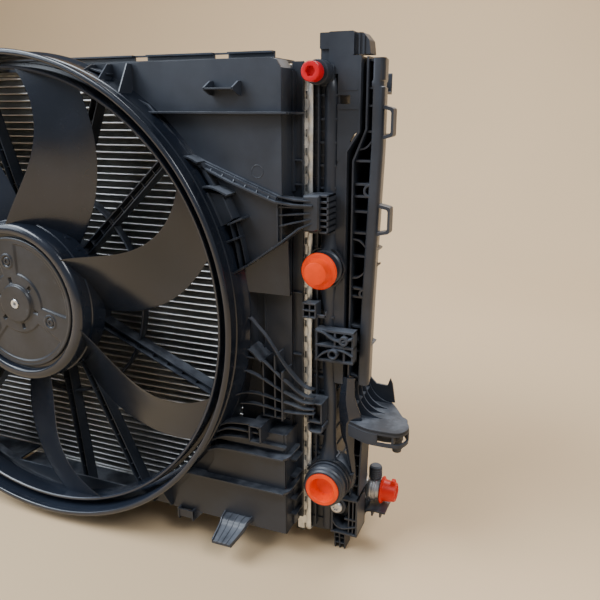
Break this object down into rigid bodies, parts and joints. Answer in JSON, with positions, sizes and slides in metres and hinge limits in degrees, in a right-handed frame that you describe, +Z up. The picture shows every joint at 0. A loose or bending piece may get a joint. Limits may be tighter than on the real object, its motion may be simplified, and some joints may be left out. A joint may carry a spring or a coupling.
{
  "type": "car radiator",
  "caption": "Car radiator module: crimped aluminium core with plastic end tanks, shrouded ring fan and motor, condenser in front and ribbed side carriers.",
  "frame": {"origin": "middle of the footprint, on the surface that the module stands on", "axes": "+X to the right seen from the engine side, +Y towards the front of the car, +Z up"},
  "size_m": [0.806, 0.182, 0.525],
  "materials": {
    "fin_aluminium": "brazed tubes and fins, dull",
    "plate_aluminium": "bright rolled, lightly marked",
    "cast_aluminium": "as cast, matt",
    "satin_plastic": "satin, moulded, glass filled",
    "tank_plastic": "satin, moulded, glass filled",
    "gloss_plastic": "semi-gloss moulded",
    "motor_steel": "black coated, pressed",
    "magnet": "sintered ferrite",
    "bright_steel": "zinc plated",
    "copper": "enamelled winding",
    "orange_plastic": "soft moulded, satin",
    "red_plastic": "soft moulded, satin",
    "rubber": "matt"
  },
  "bodies": {
    "module": {"radiator_core": "fin_aluminium", "core_side_plate_top": "plate_aluminium", "core_side_plate_bottom": "plate_aluminium", "header_plate_right": "plate_aluminium", "header_plate_left": "plate_aluminium", "tank_gasket_right": "rubber", "tank_gasket_left": "rubber", "end_tank_right": "tank_plastic", "end_tank_left": "tank_plastic", "upper_port_clip": "bright_steel", "lower_port_clip": "bright_steel", "shaft_bearing_rear": "bright_steel", "shaft_bearing_front": "bright_steel", "stator_winding": "copper", "motor_base": "cast_aluminium", "fan_controller": "cast_aluminium", "controller_socket": "satin_plastic", "motor_spider": "satin_plastic", "fan_shroud": "satin_plastic", "shroud_tongue_right": "satin_plastic", "shroud_tongue_left": "satin_plastic", "shroud_latch_upper_right": "satin_plastic", "shroud_latch_upper_left": "satin_plastic", "shroud_latch_lower_right": "satin_plastic", "shroud_latch_lower_left": "satin_plastic", "cable_clip": "satin_plastic", "tank_bracket_right": "satin_plastic", "tank_bracket_left": "satin_plastic", "side_carrier_right": "satin_plastic", "side_carrier_left": "satin_plastic", "wing_bracket_right": "satin_plastic", "wing_bracket_left": "satin_plastic", "wing_isolator_right": "rubber", "wing_isolator_left": "rubber", "lower_bracket_right": "satin_plastic", "lower_bracket_left": "satin_plastic", "bracket_screw_right": "bright_steel", "bracket_screw_left": "bright_steel", "condenser_core": "fin_aluminium", "condenser_tube_right": "plate_aluminium", "condenser_tube_left": "plate_aluminium", "receiver_drier": "plate_aluminium", "refrigerant_fitting": "plate_aluminium", "lower_beam": "satin_plastic", "upper_beam": "satin_plastic"},
    "fan_rotor": {"fan": "gloss_plastic", "rotor_cover": "motor_steel", "rotor_screw_1": "bright_steel", "rotor_screw_2": "bright_steel", "rotor_screw_3": "bright_steel", "rotor_can": "motor_steel", "magnet_ring": "magnet", "motor_shaft": "bright_steel"},
    "upper_cap": {"upper_port_cap": "orange_plastic"},
    "lower_plug": {"lower_port_plug": "orange_plastic"},
    "bleed_cap": {"bleed_port_cap": "red_plastic"},
    "fitting_dust_cap": {"fitting_cap": "red_plastic"},
    "service_dust_cap": {"service_port_cap": "satin_plastic"},
    "drain_tap_body": {"drain_tap": "tank_plastic"}
  },
  "joints": [
    {"name": "fan_spin", "type": "hinge", "parent": "module", "child": "fan_rotor", "pos_m": [0, 0, 0.265], "axis": [0, 1, 0], "continuous": true},
    {"name": "upper_cap_pull", "type": "slide", "parent": "module", "child": "upper_cap", "axis": [0, -1, 0], "range_m": [0, 0.03]},
    {"name": "lower_plug_pull", "type": "slide", "parent": "module", "child": "lower_plug", "axis": [0, -1, 0], "range_m": [0, 0.03]},
    {"name": "bleed_cap_pull", "type": "slide", "parent": "module", "child": "bleed_cap", "axis": [0, -1, 0], "range_m": [0, 0.025]},
    {"name": "fitting_cap_pull", "type": "slide", "parent": "module", "child": "fitting_dust_cap", "axis": [1, 0, 0], "range_m": [0, 0.025]},
    {"name": "service_cap_pull", "type": "slide", "parent": "module", "child": "service_dust_cap", "axis": [0, 0, 1], "range_m": [0, 0.015]},
    {"name": "drain_tap_turn", "type": "hinge", "parent": "module", "child": "drain_tap_body", "pos_m": [-0.314, 0, 0.043], "axis": [0, -1, 0], "range_deg": [0, 180]}
  ]
}
